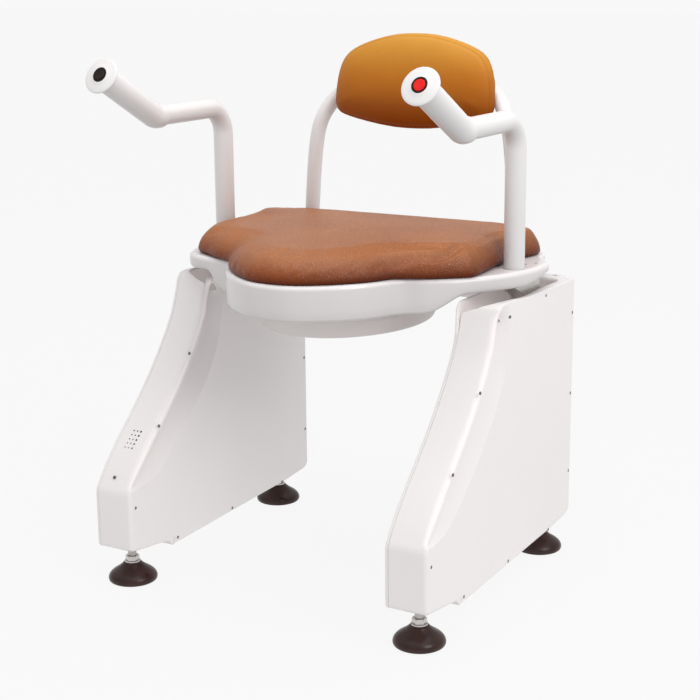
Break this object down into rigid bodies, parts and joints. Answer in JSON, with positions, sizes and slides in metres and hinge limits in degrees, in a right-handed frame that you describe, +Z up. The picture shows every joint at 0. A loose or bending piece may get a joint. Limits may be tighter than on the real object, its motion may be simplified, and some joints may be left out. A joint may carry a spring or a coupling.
{
  "type": "toilet seat raiser",
  "caption": "Powered toilet seat raiser: two side towers on levelling feet, swing arms, padded lift-off seat over a splash guard, armrests with end push buttons and a back pad.",
  "frame": {"origin": "middle of the footprint of the bounding box, on the floor under the foot pads", "axes": "+Z up; the front of the seat faces -Y, so +X is on the user's left and is the right-hand side seen from the front"},
  "size_m": [0.61, 0.576, 0.8665],
  "materials": {
    "cover_white": "glossy moulded shell",
    "guard_white": "satin moulded",
    "paint_white": "gloss white powder coat",
    "chassis_steel": "plain zinc-passivated steel",
    "bracket_zinc": "zinc plate, satin",
    "zinc_steel": "bright zinc plate",
    "foot_rubber": "dark brown moulded, satin",
    "seat_leather": "fine-grain brown, semi-gloss",
    "back_leather": "smooth tan, satin",
    "board_dark": "matt",
    "black_plastic": "satin",
    "red_plastic": "gloss"
  },
  "bodies": {
    "base": {"chassis_r": "chassis_steel", "chassis_l": "chassis_steel", "side_cover_r": "cover_white", "side_cover_l": "cover_white", "inner_cover_r": "cover_white", "inner_cover_l": "cover_white", "top_cap_r": "cover_white", "top_cap_l": "cover_white", "tower_pin_upper_r": "zinc_steel", "tower_pin_upper_l": "zinc_steel", "tower_pin_lower_r": "zinc_steel", "tower_pin_lower_l": "zinc_steel", "rear_cross_beam": "chassis_steel"},
    "seat": {"seat_bracket_r": "bracket_zinc", "seat_bracket_l": "bracket_zinc", "seat_pin_upper_r": "zinc_steel", "seat_pin_upper_l": "zinc_steel", "seat_pin_lower_r": "zinc_steel", "seat_pin_lower_l": "zinc_steel", "arm_tube_r": "paint_white", "arm_tube_l": "paint_white", "grip_sleeve_r": "paint_white", "grip_sleeve_l": "paint_white", "grip_cap_r": "paint_white", "grip_cap_l": "paint_white", "button_bezel_r": "black_plastic", "button_bezel_l": "black_plastic", "back_saddle_r": "paint_white", "back_saddle_l": "paint_white", "seat_base": "cover_white", "splash_guard": "guard_white", "cushion_board": "board_dark", "seat_cushion": "seat_leather", "back_tube": "paint_white", "back_board": "board_dark", "back_pad": "back_leather"},
    "arm_upper_r": {"lift_arm_upper_r": "chassis_steel"},
    "arm_lower_r": {"lift_arm_lower_r": "chassis_steel"},
    "button_r": {"button_r": "red_plastic"},
    "foot_front_r": {"foot_pad_front_r": "foot_rubber", "foot_stem_front_r": "zinc_steel"},
    "foot_rear_r": {"foot_pad_rear_r": "foot_rubber", "foot_stem_rear_r": "zinc_steel"},
    "arm_upper_l": {"lift_arm_upper_l": "chassis_steel"},
    "arm_lower_l": {"lift_arm_lower_l": "chassis_steel"},
    "button_l": {"button_l": "black_plastic"},
    "foot_front_l": {"foot_pad_front_l": "foot_rubber", "foot_stem_front_l": "zinc_steel"},
    "foot_rear_l": {"foot_pad_rear_l": "foot_rubber", "foot_stem_rear_l": "zinc_steel"}
  },
  "joints": [
    {"name": "lift", "type": "hinge", "parent": "base", "child": "arm_upper_r", "pos_m": [0.265, -0.0295, 0.418], "axis": [1, 0, 0], "range_deg": [0, 90]},
    {"name": "lift_lower_r", "type": "hinge", "parent": "base", "child": "arm_lower_r", "pos_m": [0.265, 0.0055, 0.353], "axis": [1, 0, 0], "range_deg": [0, 90]},
    {"name": "lift_upper_l", "type": "hinge", "parent": "base", "child": "arm_upper_l", "pos_m": [-0.265, -0.0295, 0.418], "axis": [1, 0, 0], "range_deg": [0, 90]},
    {"name": "lift_lower_l", "type": "hinge", "parent": "base", "child": "arm_lower_l", "pos_m": [-0.265, 0.0055, 0.353], "axis": [1, 0, 0], "range_deg": [0, 90]},
    {"name": "seat_level", "type": "hinge", "parent": "arm_upper_r", "child": "seat", "pos_m": [0.265, 0.1505, 0.313], "axis": [1, 0, 0], "range_deg": [-90, 0]},
    {"name": "press_r", "type": "slide", "parent": "seat", "child": "button_r", "axis": [0, 0.8755, -0.4833], "range_m": [0, 0.002], "stiffness_N_per_m": 900, "springref_m": -0.002},
    {"name": "press_l", "type": "slide", "parent": "seat", "child": "button_l", "axis": [0, 0.8755, -0.4833], "range_m": [0, 0.002], "stiffness_N_per_m": 900, "springref_m": -0.002},
    {"name": "level_front_r", "type": "slide", "parent": "base", "child": "foot_front_r", "axis": [0, 0, 1], "range_m": [-0.012, 0.008]},
    {"name": "level_rear_r", "type": "slide", "parent": "base", "child": "foot_rear_r", "axis": [0, 0, 1], "range_m": [-0.012, 0.008]},
    {"name": "level_front_l", "type": "slide", "parent": "base", "child": "foot_front_l", "axis": [0, 0, 1], "range_m": [-0.012, 0.008]},
    {"name": "level_rear_l", "type": "slide", "parent": "base", "child": "foot_rear_l", "axis": [0, 0, 1], "range_m": [-0.012, 0.008]}
  ],
  "couplings": [
    {"joint": "lift_lower_r", "follows": "lift", "ratio": 1},
    {"joint": "lift_upper_l", "follows": "lift", "ratio": 1},
    {"joint": "lift_lower_l", "follows": "lift", "ratio": 1},
    {"joint": "seat_level", "follows": "lift", "ratio": -1}
  ]
}
